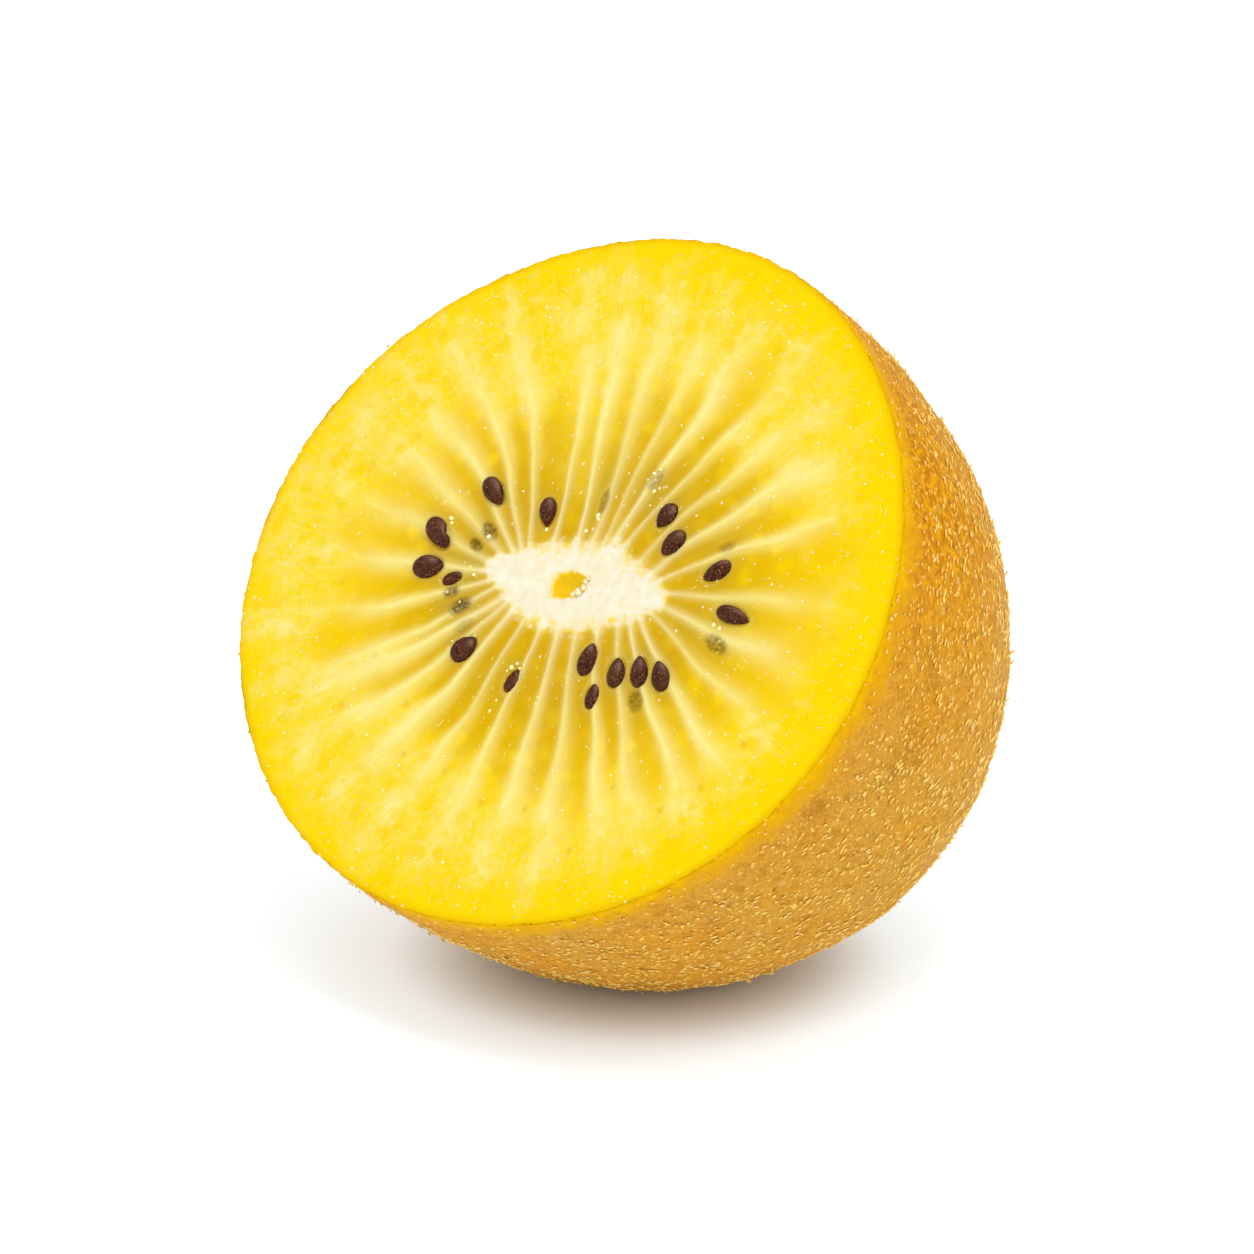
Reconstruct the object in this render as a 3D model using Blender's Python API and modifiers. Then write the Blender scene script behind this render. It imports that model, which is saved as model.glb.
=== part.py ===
"""Half of a golden kiwi fruit, cut across its waist, resting on its skin.

The half grew as one piece, so it is one solid: skin, flesh and core together, with the small hollow in the core
at the cut face and the stem scar at the far end. Units are metres. +Z is up, the cut face looks towards -Y and
up, and the origin is on the table, under the middle of the fruit's box.
"""

import math

import bmesh
import bpy
from mathutils import Matrix

# The whole fruit's shape, before it is set down. Its axis is Z, and the cut face lies at z = 0, facing +Z.
WAIST_RADIUS = 0.0264  # mean radius of the cut face
HALF_LENGTH = 0.0349  # from the cut face to the far end
FULLNESS = 2.8  # 2 makes an ellipsoid; more keeps the sides straight and the end blunt
WAIST_LOBES = (  # lobes round the axis, share of the radius, direction of a lobe in degrees
    (2, 0.029, 5.0),
    (3, 0.009, -41.0),
    (4, 0.006, -12.0),
)

# The stem scar at the far end: a dimple with a corky button in it
DIMPLE_RADIUS = 0.0075
DIMPLE_DEPTH = 0.0008
BUTTON_RADIUS = 0.0028
BUTTON_HEIGHT = 0.0007

# The hollow in the middle of the core, a tapered oval hole
HOLLOW_CENTRE = (0.0004, -0.0004)
HOLLOW_HALF_WIDTH = 0.0014
HOLLOW_HALF_HEIGHT = 0.0010
HOLLOW_DEPTH = 0.0016
HOLLOW_TURN = math.radians(20)

# How the half lies
TILT = math.radians(51)  # from the fruit's axis upright to its axis as it lies
SPOT_DEPTH = 0.0007  # how far the skin is pressed flat where it rests

# Mesh
STEPS_ROUND = 72
STEPS_DOWN = 32

SKIN_COLOUR = (0.50, 0.27, 0.06, 1.0)
SKIN_ROUGHNESS = 0.55


def clear_scene():
    for old in list(bpy.data.objects):
        bpy.data.objects.remove(old, do_unlink=True)


def new_collection(name):
    collection = bpy.data.collections.new(name)
    bpy.context.scene.collection.children.link(collection)
    return collection


def skin_material():
    material = bpy.data.materials.new("kiwi_skin")
    material.use_nodes = True
    shader = material.node_tree.nodes["Principled BSDF"]
    shader.inputs["Base Color"].default_value = SKIN_COLOUR
    shader.inputs["Roughness"].default_value = SKIN_ROUGHNESS
    shader.inputs["Metallic"].default_value = 0.0
    return material


def hump(distance, radius):
    """1 at the middle, falling smoothly to 0 at the radius."""
    if distance >= radius:
        return 0.0
    return 0.5 * (1.0 + math.cos(math.pi * distance / radius))


def skin_profile():
    """Points (radius, z) from the middle of the cut face, out to the rim, and down the skin to the far end.

    The skin is the superellipse (r / WAIST_RADIUS)^2 + (depth / HALF_LENGTH)^FULLNESS = 1.
    """
    points = [(0.0, 0.0)]
    for step in range(STEPS_DOWN + 1):
        turn = 0.5 * math.pi * step / STEPS_DOWN
        radius = WAIST_RADIUS * math.cos(turn)
        depth = HALF_LENGTH * math.sin(turn) ** (2.0 / FULLNESS)
        depth -= DIMPLE_DEPTH * hump(radius, DIMPLE_RADIUS)
        depth += BUTTON_HEIGHT * hump(radius, BUTTON_RADIUS)
        points.append((radius if step < STEPS_DOWN else 0.0, -depth))
    return points


def turned_body(name, points):
    """A mesh object that turns the profile once round Z."""
    mesh = bpy.data.meshes.new(name)
    corners = [(radius, 0.0, z) for radius, z in points]
    mesh.from_pydata(corners, [(i, i + 1) for i in range(len(corners) - 1)], [])
    profile = bpy.data.objects.new(name, mesh)
    bpy.context.scene.collection.objects.link(profile)
    screw = profile.modifiers.new("Turn", "SCREW")
    screw.steps = screw.render_steps = STEPS_ROUND
    screw.use_merge_vertices = True
    screw.merge_threshold = 0.00001
    bpy.context.view_layer.update()
    evaluated = profile.evaluated_get(bpy.context.evaluated_depsgraph_get())
    turned = bpy.data.meshes.new_from_object(evaluated)
    bpy.data.objects.remove(profile, do_unlink=True)
    return turned


def waist_share(angle):
    """How much wider or narrower than round the fruit is in this direction."""
    share = 1.0
    for lobes, amount, direction in WAIST_LOBES:
        share += amount * math.cos(lobes * (angle - math.radians(direction)))
    return share


def give_waist(mesh):
    """Moves every point in or out from the axis, so that the round body gets the fruit's own outline."""
    for vertex in mesh.vertices:
        share = waist_share(math.atan2(vertex.co.y, vertex.co.x))
        vertex.co.x *= share
        vertex.co.y *= share
    mesh.update()


def resting_place(mesh):
    """The matrix that tilts the half, sinks it by the flat spot and centres its box over the origin."""
    tilt = Matrix.Rotation(TILT, 4, "X")
    places = [tilt @ vertex.co for vertex in mesh.vertices]
    middle_x = 0.5 * (min(p.x for p in places) + max(p.x for p in places))
    middle_y = 0.5 * (min(p.y for p in places) + max(p.y for p in places))
    table_z = min(p.z for p in places) + SPOT_DEPTH
    return Matrix.Translation((-middle_x, -middle_y, -table_z)) @ tilt


def cut_with(body, cutter, name):
    cut = body.modifiers.new(name, "BOOLEAN")
    cut.operation = "DIFFERENCE"
    cut.object = cutter
    cutter.hide_render = True
    cutter.display_type = "WIRE"


def hollow_cutter(collection, place):
    """An egg-shaped cutter, half sunk in the cut face, for the hollow in the core."""
    mesh = bpy.data.meshes.new("core_hollow_cutter")
    shape = bmesh.new()
    bmesh.ops.create_uvsphere(shape, u_segments=20, v_segments=12, radius=1.0)
    size = Matrix.Diagonal((HOLLOW_HALF_WIDTH, HOLLOW_HALF_HEIGHT, HOLLOW_DEPTH, 1.0))
    shape.transform(Matrix.Rotation(HOLLOW_TURN, 4, "Z") @ size)
    shape.to_mesh(mesh)
    shape.free()
    cutter = bpy.data.objects.new("core_hollow_cutter", mesh)
    cutter.matrix_world = place @ Matrix.Translation((*HOLLOW_CENTRE, 0.0))
    collection.objects.link(cutter)
    return cutter


def table_cutter(collection):
    """A block whose top is the table, at z = 0, which takes off the sliver that presses flat."""
    side = 4.0 * WAIST_RADIUS
    mesh = bpy.data.meshes.new("table_cutter")
    shape = bmesh.new()
    bmesh.ops.create_cube(shape, size=side)
    shape.to_mesh(mesh)
    shape.free()
    cutter = bpy.data.objects.new("table_cutter", mesh)
    cutter.location = (0.0, 0.0, -0.5 * side)
    collection.objects.link(cutter)
    return cutter


def build():
    clear_scene()
    fruit_parts = new_collection("golden_kiwi_half")
    cutters = new_collection("cutters")

    mesh = turned_body("kiwi_half", skin_profile())
    give_waist(mesh)
    mesh.materials.append(skin_material())
    mesh.shade_smooth()
    mesh.set_sharp_from_angle(angle=math.radians(40))

    kiwi = bpy.data.objects.new("kiwi_half", mesh)
    fruit_parts.objects.link(kiwi)
    kiwi.matrix_world = resting_place(mesh)
    cut_with(kiwi, hollow_cutter(cutters, kiwi.matrix_world), "Core hollow")
    cut_with(kiwi, table_cutter(cutters), "Resting spot")


build()
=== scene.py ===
import math

import bpy
import numpy as np
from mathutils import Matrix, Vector


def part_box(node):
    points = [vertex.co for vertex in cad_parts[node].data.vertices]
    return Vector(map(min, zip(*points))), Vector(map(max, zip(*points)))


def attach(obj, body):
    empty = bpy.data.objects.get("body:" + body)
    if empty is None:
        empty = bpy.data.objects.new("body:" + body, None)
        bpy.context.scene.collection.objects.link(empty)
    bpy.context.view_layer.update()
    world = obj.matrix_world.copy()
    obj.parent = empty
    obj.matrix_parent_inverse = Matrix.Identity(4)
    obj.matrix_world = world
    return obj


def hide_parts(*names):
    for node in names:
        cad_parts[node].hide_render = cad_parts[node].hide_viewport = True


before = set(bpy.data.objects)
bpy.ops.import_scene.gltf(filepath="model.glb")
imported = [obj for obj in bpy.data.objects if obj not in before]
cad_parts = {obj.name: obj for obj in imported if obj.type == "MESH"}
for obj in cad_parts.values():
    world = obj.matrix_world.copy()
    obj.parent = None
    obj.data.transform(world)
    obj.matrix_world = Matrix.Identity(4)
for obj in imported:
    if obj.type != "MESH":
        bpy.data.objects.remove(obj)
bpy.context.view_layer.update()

# Shapes are worked out in millimetres in the fruit's own frame: x across the cut face, y up its slope, z out of it
fruitShape = {
    "waistRadius": 26.4,
    "halfLength": 34.9,
    "fullness": 2.8,
    "waistLobes": ((2, 0.029, 5.0), (3, 0.009, -41.0), (4, 0.006, -12.0)),  # how many, how high, which way
    "tilt": 51.0,  # degrees from upright
    "dimpleRadius": 7.5,
    "dimpleDepth": 0.8,
    "skinThickness": 0.28,
    "pressedBelow": 3.0,  # the skin starts to flatten on the table from this height
    "pressedEdge": 0.02,  # square millimetres: how softly the flat spot meets the round skin
    "pressedLift": 0.0035,
}


def wave(x):
    # half a cosine from 0 to 1
    return 0.5 - 0.5 * np.cos(np.pi * np.clip(x, 0.0, 1.0))


def fade(x, start, end):
    # 0 at start, 1 at end, smooth between; start may be the larger
    return wave((x - start) / (end - start))


def bell(x, width):
    # exp(-(x / width)^2): 1 in the middle, small beyond the width
    return np.exp(-(x / width) ** 2)


def turns(count):
    # even steps round the circle
    return np.linspace(0, 2 * np.pi, count, endpoint=False)


def unit(vectors):
    # each vector divided by its length
    return vectors / (np.linalg.norm(vectors, axis=-1, keepdims=True) + 1e-12)


def wrapped(angle):
    # the same direction between -pi and pi
    return (angle + np.pi) % (2 * np.pi) - np.pi


def rotated(x, y, angle):
    # x and y turned anticlockwise
    return x * np.cos(angle) - y * np.sin(angle), x * np.sin(angle) + y * np.cos(angle)


def ripple(angle, orders, seed):
    # a sum of cosines round the circle with random phases, about 1 high
    random = np.random.default_rng(seed)
    total = np.zeros_like(angle)
    for order in orders:
        total += np.cos(order * angle + random.uniform(0, 2 * np.pi))
    return total / math.sqrt(0.5 * len(orders))


def swell(points, wavelength, seed, count=28):
    # a random field: a sum of cosine waves of one length in random directions, about 1 high
    random = np.random.default_rng(seed)
    total = np.zeros(points.shape[:-1])
    for _ in range(count):
        direction = random.normal(size=points.shape[-1])
        direction *= 2 * np.pi / wavelength / np.linalg.norm(direction) * random.uniform(0.75, 1.3)
        total += np.cos(points @ direction + random.uniform(0, 2 * np.pi))
    return total / math.sqrt(0.5 * count)


def waistRadius(angle):
    # a circle with cosine lobes, in millimetres
    share = 1.0
    for lobes, amount, direction in fruitShape["waistLobes"]:
        share = share + amount * np.cos(lobes * (angle - math.radians(direction)))
    return fruitShape["waistRadius"] * share


def rimWave(angle):
    # the knife leaves the edge slightly uneven, in millimetres
    coarse = ripple(angle, (37, 53, 71, 97, 131, 173), 87)
    return 0.035 * coarse + 0.02 * ripple(angle, (211, 263, 307), 89)


def skinPoint(angle, down, inset=0.0):
    # superellipse: radius = waist cos(turn), depth = length sin(turn)^(2/fullness), then inwards by the inset, and
    # a cosine dimple at the far end; down runs from 0 at the cut to 1 at the far end
    shape = fruitShape
    turn = 0.5 * np.pi * down
    share = np.cos(turn)
    fullness = shape["fullness"]
    deep = np.sin(turn) ** (2.0 / fullness)
    depth = shape["halfLength"] * deep
    radius = waistRadius(angle) * share
    outR = 2 * share / shape["waistRadius"]
    outZ = fullness * np.maximum(deep, 1e-9) ** (fullness - 1) / shape["halfLength"]
    length = np.hypot(outR, outZ)
    radius = np.maximum(radius - inset * outR / length, 0.0)
    depth = depth - inset * outZ / length
    depth = depth - shape["dimpleDepth"] * wave(1 - radius / shape["dimpleRadius"])
    return np.stack([radius * np.cos(angle), radius * np.sin(angle), -depth], -1)


def lyingMatrix():
    # tilts the fruit about x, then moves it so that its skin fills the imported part's box
    tilt = math.radians(fruitShape["tilt"])
    turn = np.array([[1, 0, 0], [0, math.cos(tilt), -math.sin(tilt)], [0, math.sin(tilt), math.cos(tilt)]])
    angle, down = np.meshgrid(np.linspace(0, 2 * np.pi, 361), np.linspace(0, 1, 181))
    places = skinPoint(angle, down).reshape(-1, 3) @ turn.T
    low, high = (1000 * np.array(corner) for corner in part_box("kiwi_half"))
    move = 0.5 * (low + high) - 0.5 * (places.min(0) + places.max(0))
    move[2] = high[2] - places[:, 2].max()
    return turn, move


lyingTurn, lyingMove = lyingMatrix()


def settled(points):
    # into the room, in metres; whatever would be under the table is pressed flat on it: z becomes
    # (z + sqrt(z^2 + edge)) / 2
    places = points @ lyingTurn.T + lyingMove
    z = places[..., 2]
    below, edge = fruitShape["pressedBelow"], fruitShape["pressedEdge"]
    pressed = 0.5 * (z + np.sqrt(z * z + edge)) - fruitShape["pressedLift"] * fade(z, below, 0.0)
    places[..., 2] = np.where(z > below, z, pressed)
    return places * 0.001


def makeMesh(name, points, quads, triangles=None):
    # points and faces, as whole arrays, into one smooth mesh
    triangles = np.zeros((0, 3), int) if triangles is None else triangles
    corners = np.concatenate([quads.ravel(), triangles.ravel()])
    sizes = np.concatenate([np.full(len(quads), 4), np.full(len(triangles), 3)])
    mesh = bpy.data.meshes.new(name)
    mesh.vertices.add(len(points))
    mesh.vertices.foreach_set("co", points.astype(np.float32).ravel())
    mesh.loops.add(len(corners))
    mesh.loops.foreach_set("vertex_index", corners.astype(np.int32))
    mesh.polygons.add(len(sizes))
    mesh.polygons.foreach_set("loop_start", (np.cumsum(sizes) - sizes).astype(np.int32))
    mesh.update(calc_edges=True)
    mesh.validate()
    mesh.shade_smooth()
    return mesh


def addAttribute(mesh, name, values):
    # one number for each point, for the material to read
    made = mesh.attributes.new(name, "FLOAT", "POINT")
    made.data.foreach_set("value", values.astype(np.float32).ravel())


def closedRings(rows, columns, first=0, turned=False):
    # faces of rings joined round, between a pole point at the start and one at the end; turned faces look the
    # other way
    ring = np.arange(columns)
    after = (ring + 1) % columns
    row = first + 1 + columns * np.arange(rows - 1)[:, None]
    quads = np.stack([row + ring, row + after, row + columns + after, row + columns + ring], -1).reshape(-1, 4)
    start = np.stack([np.full(columns, first), first + 1 + after, first + 1 + ring], -1)
    last = first + 1 + columns * (rows - 1)
    end = np.stack([last + ring, last + after, np.full(columns, last + columns)], -1)
    triangles = np.concatenate([start, end])
    return (quads[:, ::-1], triangles[:, ::-1]) if turned else (quads, triangles)


def closedMesh(name, start, grid, end, turned=False):
    # a grid of rings and the pole point at either end as one body, and its points in millimetres
    points = np.concatenate([start, grid.reshape(-1, 3), end])
    return makeMesh(name, settled(points), *closedRings(*grid.shape[:2], turned=turned)), points


def joinedMesh(name, bodies, rings, sides, turned=False):
    # many small closed bodies, each of the same rings and sides, as one mesh
    faces = [closedRings(rings, sides, number * (rings * sides + 2), turned) for number in range(len(bodies))]
    quads, triangles = (np.concatenate(part) for part in zip(*faces))
    return makeMesh(name, settled(np.concatenate(bodies)), quads, triangles)


def newObject(name, data):
    made = bpy.data.objects.new(name, data)
    bpy.context.scene.collection.objects.link(made)
    return made


def newPiece(name, mesh, material):
    # a visible piece of the fruit, which is all one body
    piece = newObject(name, mesh)
    mesh.materials.append(material)
    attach(piece, "root")
    return piece


# Materials

def colour(hexCode):
    # sRGB hex to linear
    parts = [int(hexCode[i:i + 2], 16) / 255 for i in (1, 3, 5)]
    return [c / 12.92 if c <= 0.04045 else ((c + 0.055) / 1.055) ** 2.4 for c in parts] + [1.0]


def addNode(tree, kind, links=None, **settings):
    # links maps a socket to what feeds it: a node, (node, output), a colour's hex code or another fixed value
    node = tree.nodes.new("ShaderNode" + kind)
    for key, value in settings.items():
        setattr(node, key, value)
    for socket, source in (links or {}).items():
        entry = node.inputs[socket]
        if isinstance(source, bpy.types.Node):
            source = (source, 0)
        if isinstance(source, tuple) and isinstance(source[0], bpy.types.Node):
            tree.links.new(source[0].outputs[source[1]], entry)
        else:
            entry.default_value = colour(source) if isinstance(source, str) else source
    return node


def perMillimetre(size):
    return 1000.0 / size  # a texture's scale on coordinates in metres, for features of this many millimetres


def newMaterial(name, fields=(), grains=None, dots=None):
    # a new material and what it reads: Object coordinates, the mesh's own attributes, and noises and cells of given
    # sizes in millimetres
    material = bpy.data.materials.new(name)
    material.use_nodes = True
    tree = material.node_tree
    tree.nodes.clear()
    place = (addNode(tree, "TexCoord"), "Object") if grains else None
    field = {read: (addNode(tree, "Attribute", attribute_name=read), "Fac") for read in fields}
    grain = {}
    for read, (size, detail, rough) in (grains or {}).items():
        grain[read] = addNode(tree, "TexNoise", {"Vector": place, "Scale": perMillimetre(size), "Detail": detail,
                                                 "Roughness": rough})
    for read, (apart, uneven) in (dots or {}).items():
        grain[read] = addNode(tree, "TexVoronoi", {"Vector": place, "Scale": perMillimetre(apart),
                                                   "Randomness": uneven})
    return material, tree, place, field, grain


def setSurface(tree, settings):
    # the finish: a Principled surface with these sockets
    shader = addNode(tree, "BsdfPrincipled", settings)
    addNode(tree, "OutputMaterial", {"Surface": shader})


def agreed(tree, *masks, steps="SMOOTHSTEP"):
    # the product of masks, each kept within 0 to 1; a mask is a node's output or a number, or a list of an output
    # with its low and high level, and what they are mapped to if that isn't 0 and 1
    result = None
    for mask in masks:
        if isinstance(mask, list):
            source, low, high, atLow, atHigh = mask + [0.0, 1.0][len(mask) - 3:]
            levels = {0: source, 1: low, 2: high, 3: atLow, 4: atHigh}
            mask = addNode(tree, "MapRange", levels, interpolation_type=steps)
        if result is not None:
            mask = addNode(tree, "Math", {0: result, 1: mask}, operation="MULTIPLY", use_clamp=True)
        result = mask
    return result


def layers(tree, base, *overs, steps="SMOOTHSTEP"):
    # colours laid one after another over the base, each where all its masks agree
    for over, *masks in overs:
        share = agreed(tree, *masks, steps=steps)
        base = (addNode(tree, "Mix", {0: share, 6: base, 7: over}, data_type="RGBA"), 2)
    return base


# The cut face

cutFace = {
    "coreCentre": (1.3, -0.25),
    "coreHalfWidth": 6.6,
    "coreHalfHeight": 2.9,
    "coreTurn": 6.0,
    "coreReach": 4.35,
    # where the core's edge reaches further out: how far, direction in radians, breadth
    "corePoints": ((1.3, 0.0, 0.30), (2.4, 3.08, 0.28), (0.25, 2.55, 0.25), (0.60, 1.28, 0.14), (0.42, 4.3, 0.62),
                   (-0.15, 0.8, 0.3), (-0.15, -0.8, 0.3)),
    "hollowCentre": (0.43, -0.45),
    "hollowHalfWidth": 1.42,
    "hollowHalfHeight": 0.98,
    "hollowTurn": 18.0,
    "hollowDepth": 1.0,
    # the hollow's rings from its floor to its mouth: share of the mouth's radius, share of the depth
    "hollowRings": ((0.20, -1.0), (0.40, -0.98), (0.58, -0.92), (0.72, -0.80), (0.83, -0.60), (0.91, -0.36),
                    (0.97, -0.13)),
    # each wall between two seed chambers: its direction in degrees far out, and at the core, and how far out in
    # millimetres the chamber after it reaches
    "walls": (
        (5, 6, 20), (23, 21, 16), (37, 34, 14.5), (49, 52, 13), (60, 69, 19), (72, 78, 15), (82, 84, 15),
        (93, 91, 15), (103, 103, 14), (110, 121, 14), (126, 141, 14.5), (137, 149, 18), (147, 157, 16.5),
        (158, 167, 18.5), (170, 175, 20), (182, 180, 18.5), (195, 187, 20), (207, 196, 13), (211, 210, 16.5),
        (221, 217, 12.5), (233, 226, 14), (246, 239, 13.5), (259, 253, 14.5), (272, 267, 15), (284, 280, 17),
        (296, 295, 14.5), (305, 311, 17.5), (316, 321, 17.5), (326, 332, 16.5), (338, 344, 19), (351, 354, 19.5),
    ),
    # how far out, and there the widths of a wall's sharp side and of its fading side, the side towards +x, painted as
    # lit
    "wallWidths": ((4.8, 0.45, 0.55), (5.6, 0.24, 0.34), (7, 0.15, 0.29), (10, 0.19, 0.37), (13, 0.27, 0.60),
                   (16, 0.42, 0.90), (19, 0.85, 1.3), (22, 1.2, 1.5)),
    # how far out, and there the width of the buried slope that shows through beside a wall
    "slopeWidths": ((5, 0.40), (7, 0.62), (10, 0.95), (13, 1.35), (16, 1.80), (20, 2.2)),
    # grey-green veil round the seeds: strength, direction in radians, breadth
    "veilPatches": ((0.70, 3.25, 0.50), (0.30, 1.3, 0.45), (0.35, 5.6, 0.45)),
    "veilReach": 8.8,
    "wallHeight": 0.035,
    "chamberDepth": 0.045,
    "columns": 540,
    "rows": 146,
}

# Seeds: x, y on the cut face from the hollow, the way the pointed end looks, length, width, how deep the middle
# lies, in millimetres and degrees
seedLayout = (
    (-9.7, 4.8, 327, 2.8, 1.65, 0.05),
    (-4.5, 4.5, 296, 2.3, 1.45, 0.08),
    (-12.6, 0.8, 327, 3.1, 1.80, 0.05),
    (-12.2, -1.7, 18, 2.6, 1.85, 0.05),
    (-9.8, -1.9, 35, 1.8, 1.20, 0.28),
    (5.2, 6.7, 250, 2.0, 1.50, 0.10),
    (6.8, 5.0, 245, 2.2, 1.75, 0.08),
    (11.3, 4.0, 224, 2.3, 1.60, 0.08),
    (14.1, 1.4, 356, 3.0, 1.40, 0.16),
    (-6.1, -6.5, 54, 2.3, 1.80, 0.05),
    (4.3, -4.6, 93, 2.4, 1.62, 0.05),
    (7.0, -4.8, 112, 2.4, 1.60, 0.08),
    (8.8, -4.3, 116, 2.4, 1.55, 0.08),
    (10.6, -4.1, 130, 2.5, 1.55, 0.10),
    (5.9, -6.8, 105, 2.2, 1.25, 0.22),
    (-1.0, -7.5, 84, 2.2, 1.30, 0.30),
    (-0.2, 6.3, 279, 2.0, 0.85, 0.37),
)

# Seeds that lie wholly under the flesh and show as soft smudges: x, y, lean, length, width, strength
sunkenSeeds = (
    (3.1, 8.9, 78, 1.9, 1.0, 0.50),
    (-8.5, 2.0, 154, 1.8, 1.1, 0.82),
    (-9.1, 0.8, 156, 1.4, 0.9, 0.88),
    (-9.3, -2.9, 36, 1.4, 1.0, 0.80),
    (-8.0, -3.7, 38, 1.9, 1.2, 0.92),
    (11.3, 5.8, 36, 1.5, 0.8, 0.45),
    (13.9, -0.9, 164, 2.3, 1.2, 0.75),
    (9.6, -6.3, 115, 1.8, 1.3, 0.68),
    (-6.9, -5.0, 40, 1.6, 1.1, 0.30),
    (-0.3, 6.4, 279, 2.0, 0.8, 0.45),
)


def fromHollow(x, y):
    # a place given from the middle of the hollow
    return x + cutFace["hollowCentre"][0], y + cutFace["hollowCentre"][1]


def seedDistance(x, y, seed):
    # 1 on the outline of a seed lying on the face, less inside, more outside; and the gap to it in millimetres
    cx, cy, lean, length, width = seed[:5]
    cx, cy = fromHollow(cx, cy)
    along, across = rotated(x - cx, y - cy, -math.radians(lean))
    share = np.hypot(along / (0.5 * length), across / (0.5 * width))
    return share, (share - 1) * 0.5 * width


def coreCoordinates(x, y):
    # Confocal coordinates round the core: x + iy = f cosh(mu + i nu). Lines of one nu leave the oval core square
    # to its edge and spread out to the rim, as the walls do. Gives nu, the mean radius of the ellipse through
    # each point, and the millimetres that one radian of nu is wide there
    a, b = cutFace["coreHalfWidth"], cutFace["coreHalfHeight"]
    focus = math.sqrt(a * a - b * b)
    z = (x - cutFace["coreCentre"][0]) + 1j * (y - cutFace["coreCentre"][1])
    w = np.arccosh(z * np.exp(-1j * math.radians(cutFace["coreTurn"])) / focus + 1e-9j)
    mu, nu = np.abs(w.real), np.where(w.real < 0, -w.imag, w.imag) % (2 * np.pi)
    toArc = focus * np.sqrt(np.maximum(np.cosh(mu) ** 2 - np.cos(nu) ** 2, 1e-6))
    return nu, 0.5 * focus * np.exp(mu), toArc


def wallFields(walls, nu, reach, toArc, random):
    # the walls' bright cut edges, their buried slopes, how far off the nearest wall on either side is, and how far
    # out the chamber between them reaches; on each wall's side towards +x the wall fades and its slope is paler:
    # painted light and shade, as on raised walls lit from that side
    strength, breadth, plateLength = (random.uniform(low, high, len(walls))
                                      for low, high in ((0.60, 1.0), (0.75, 1.25), (0.80, 1.25)))
    gaps, nearest = np.full((2, *nu.shape), 1e3), np.zeros((2, *nu.shape), int)
    for number, (outer, inner, _) in enumerate(walls):
        bend = (inner, 0.55 * inner + 0.45 * outer, 0.1 * inner + 0.9 * outer, outer)
        centre = np.radians(np.interp(reach, (5, 8, 12, 16), bend))
        centre = centre + 0.009 * np.sin(reach * random.uniform(0.5, 0.9) + random.uniform(0, 6))
        turn = (nu - centre) % (2 * np.pi)
        away = np.stack([turn, 2 * np.pi - turn]) * toArc
        nearest = np.where(away < gaps, number, nearest)
        gaps = np.minimum(away, gaps)

    far, sharp, fading = zip(*cutFace["wallWidths"])
    sharpWidth, fadingWidth = np.interp(reach, far, sharp), np.interp(reach, far, fading)
    plateWidth = np.minimum(np.interp(reach, *zip(*cutFace["slopeWidths"])), 0.80 * gaps.sum(0))
    # painted light: which side of each wall fades and has the paler slope, always the side towards +x, as if lit from
    # there
    lean = 0.5 - 0.5 * np.sin(nu)
    wall, plate = np.zeros_like(nu), np.zeros_like(nu)
    for gap, number, paintedLitSide in zip(gaps, nearest, (lean, 1 - lean)):
        width = sharpWidth + (fadingWidth - sharpWidth) * paintedLitSide
        wall = np.maximum(wall, strength[number] * np.exp(-(gap / width / breadth[number]) ** 1.45))
        length = plateWidth * plateLength[number] * (0.25 + 0.75 * paintedLitSide)
        shown = fade(gap, length + 0.12, 0.55 * length)
        plate = np.maximum(plate, strength[number] * (0.3 + 0.7 * paintedLitSide) * shown)
    wander = 0.8 * ripple(nu, (5, 9, 13, 22, 31), 5)
    wall *= fade(reach, 22.0 + wander, 15.0)
    plate *= fade(reach, 19.5 + wander, 14.0)
    return wall, plate, gaps, np.array(walls)[nearest[0], 2]


def veinEnds(walls, nu, reach, toArc, random):
    # darker dots beyond the chambers, clearer low down, where the cut meets the veins square on
    veins = np.zeros_like(nu)
    for number, (left, _, reached) in enumerate(walls):
        right = (walls + [(walls[0][0] + 360, 0, 0)])[number + 1][0]
        low = 200 < left < 330
        for _ in range(1 if low else 2):
            direction = math.radians(left + (right - left) * random.uniform(0.40, 0.60))
            far = reached + random.uniform(2.0, 3.5) if low else reached + random.uniform(0.8, 3.6)
            size = random.uniform(0.20, 0.26)
            away = np.hypot(wrapped(nu - direction) * toArc, (reach - far) / 1.2)
            veins = np.maximum(veins, (0.9 if low else random.uniform(0.1, 0.5)) * bell(away, size) * (far < 22))
    return veins


def seedFields(x, y):
    # smudges of buried seeds, the veil round all of them, and each shown seed's dip and pale pocket edge
    smudge, halo, dip, pocket = (np.zeros_like(x) for _ in range(4))
    for seed in sunkenSeeds:
        share, gap = seedDistance(x, y, seed)
        smudge = np.maximum(smudge, seed[5] * fade(share, 1.30, 0.55))
        halo = np.maximum(halo, 0.9 * bell(np.maximum(gap, 0), 0.8))
    for seed in seedLayout:
        gap = seedDistance(x, y, seed)[1]
        halo = np.maximum(halo, 0.8 * bell(np.maximum(gap, 0), 0.5))
        dip = np.maximum(dip, bell(np.maximum(gap + 0.25, 0), 0.30))
        pocket = np.maximum(pocket, bell(gap - 0.10, 0.08))
    return smudge, halo, dip, pocket


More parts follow.
